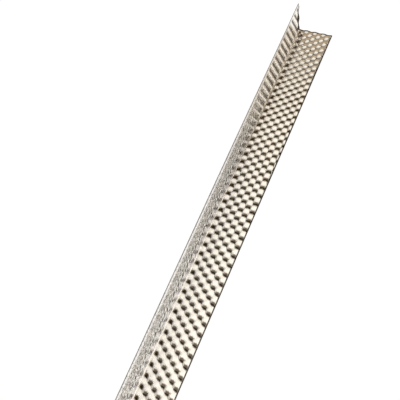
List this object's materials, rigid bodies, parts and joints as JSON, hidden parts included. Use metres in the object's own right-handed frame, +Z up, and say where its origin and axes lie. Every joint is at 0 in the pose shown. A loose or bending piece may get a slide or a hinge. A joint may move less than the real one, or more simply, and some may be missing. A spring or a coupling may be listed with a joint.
{
  "type": "ceiling wall angle",
  "caption": "Equal angle of thin dimpled galvanised steel, sold as long stock, that runs along a wall and carries the edge of a suspended ceiling",
  "frame": {"origin": "Under the middle of the bounding box, at the level of the flange's underside", "axes": "X along the stock, Y across the flange from the wall leg to the free edge, Z up along the wall leg"},
  "size_m": [3, 0.025, 0.025],
  "materials": {
    "galvanised_sheet": "hot-dip galvanised thin sheet steel, dimpled all over by toothed rolls, with bare cut edges"
  },
  "bodies": {
    "root": {"angle_section": "galvanised_sheet"}
  },
  "joints": []
}
